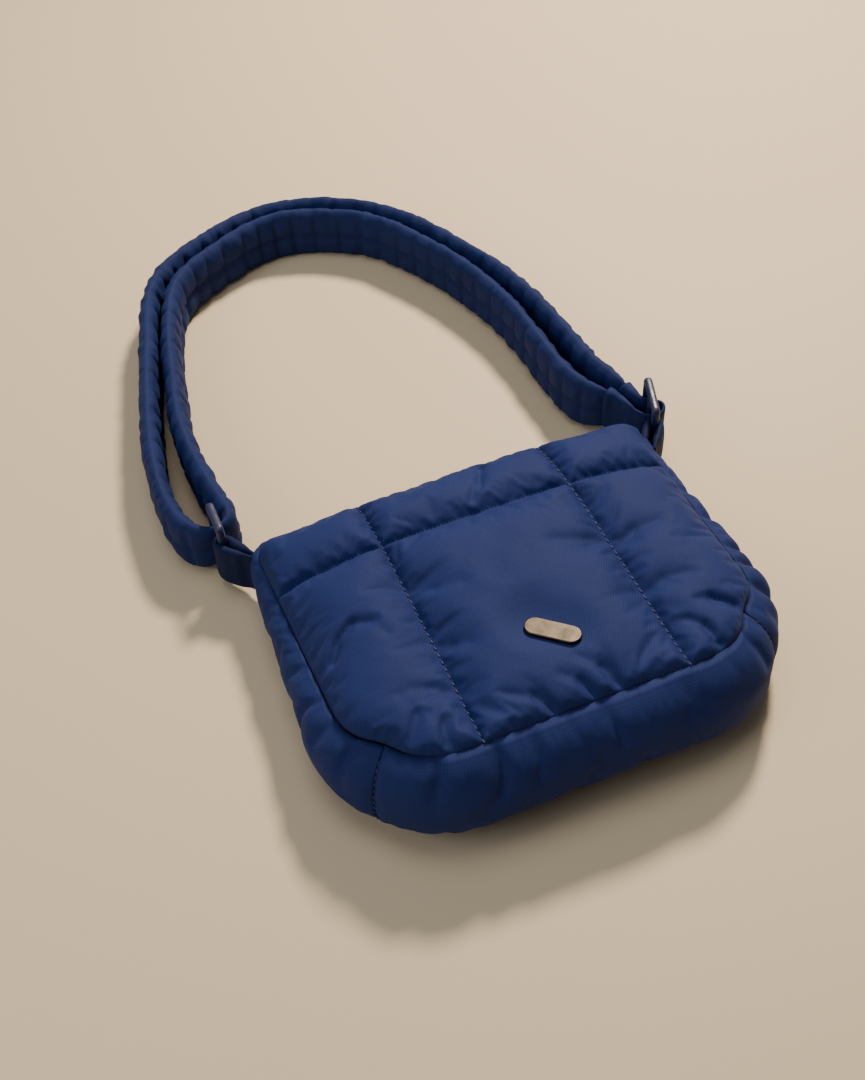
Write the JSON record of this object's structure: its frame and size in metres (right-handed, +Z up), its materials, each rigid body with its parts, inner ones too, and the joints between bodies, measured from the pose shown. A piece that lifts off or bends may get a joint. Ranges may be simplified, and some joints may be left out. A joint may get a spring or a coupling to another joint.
{
  "type": "sling bag",
  "caption": "Small quilted puffer sling bag lying on its back, with a zip across the top and a padded doubled strap through a ring and a three-bar slider.",
  "frame": {"origin": "middle of the back panel's outer face, on the surface the bag lies on", "axes": "+Z up out of the front panel, +Y towards the zip and the strap, +X along the width, to the three-bar slider's side"},
  "size_m": [0.2547, 0.4247, 0.0569],
  "materials": {
    "shell_fabric": "navy nylon twill, lightly padded, soft sheen",
    "strap_fabric": "navy nylon twill, quilted",
    "tab_fabric": "navy nylon twill, folded",
    "lining": "plain weave polyester",
    "binding_tape": "woven binding tape",
    "zip_tape": "herringbone zip tape",
    "zip_coil": "nylon coil",
    "zip_metal": "navy enamelled zinc",
    "frame_metal": "navy enamelled zinc, semi-gloss",
    "badge_metal": "polished nickel",
    "fixing_metal": "plain nickel"
  },
  "bodies": {
    "bag": {"front_panel": "shell_fabric", "back_panel": "shell_fabric", "side_gusset_left": "shell_fabric", "side_gusset_right": "shell_fabric", "bottom_gusset": "shell_fabric", "gusset_lining": "lining", "back_lining": "lining", "front_lining": "lining", "back_seam_binding": "binding_tape", "front_seam_binding": "binding_tape", "zip_tape_front": "zip_tape", "zip_tape_back": "zip_tape", "zip_row_front": "zip_coil", "zip_row_back": "zip_coil", "zip_bottom_stop": "zip_metal", "zip_top_stops": "zip_metal", "zip_end_tab_left": "zip_tape", "zip_end_tab_right": "zip_tape", "tab_base_left": "tab_fabric", "tab_base_right": "tab_fabric", "badge_plate": "badge_metal", "badge_prongs": "fixing_metal", "badge_washers": "fixing_metal"},
    "strap": {"strap": "strap_fabric", "strap_end_loop": "strap_fabric", "tab_loop_left": "tab_fabric", "tab_loop_right": "tab_fabric"},
    "ring": {"ring_left": "frame_metal"},
    "triglide": {"triglide_right": "frame_metal"},
    "zip_slider": {"zip_slider_body": "zip_metal", "zip_puller_pin": "zip_metal"},
    "puller": {"zip_puller": "zip_metal"}
  },
  "joints": [
    {"name": "strap_swing", "type": "hinge", "parent": "bag", "child": "strap", "pos_m": [0, 0.084, 0.022], "axis": [1, 0, 0], "range_deg": [0, 60]},
    {"name": "ring_swivel", "type": "hinge", "parent": "strap", "child": "ring", "pos_m": [-0.11, 0.092, 0.018], "axis": [0, 0, 1], "range_deg": [-2.5, 2.5]},
    {"name": "triglide_swivel", "type": "hinge", "parent": "strap", "child": "triglide", "pos_m": [0.11, 0.077, 0.018], "axis": [0, 0, 1], "range_deg": [-3, 3]},
    {"name": "zip_travel", "type": "slide", "parent": "bag", "child": "zip_slider", "axis": [-1, 0, 0], "range_m": [0, 0.1446]},
    {"name": "puller_flip", "type": "hinge", "parent": "zip_slider", "child": "puller", "pos_m": [0.0723, 0.08465, 0.0195], "axis": [0, 0, -1], "range_deg": [0, 170]}
  ]
}
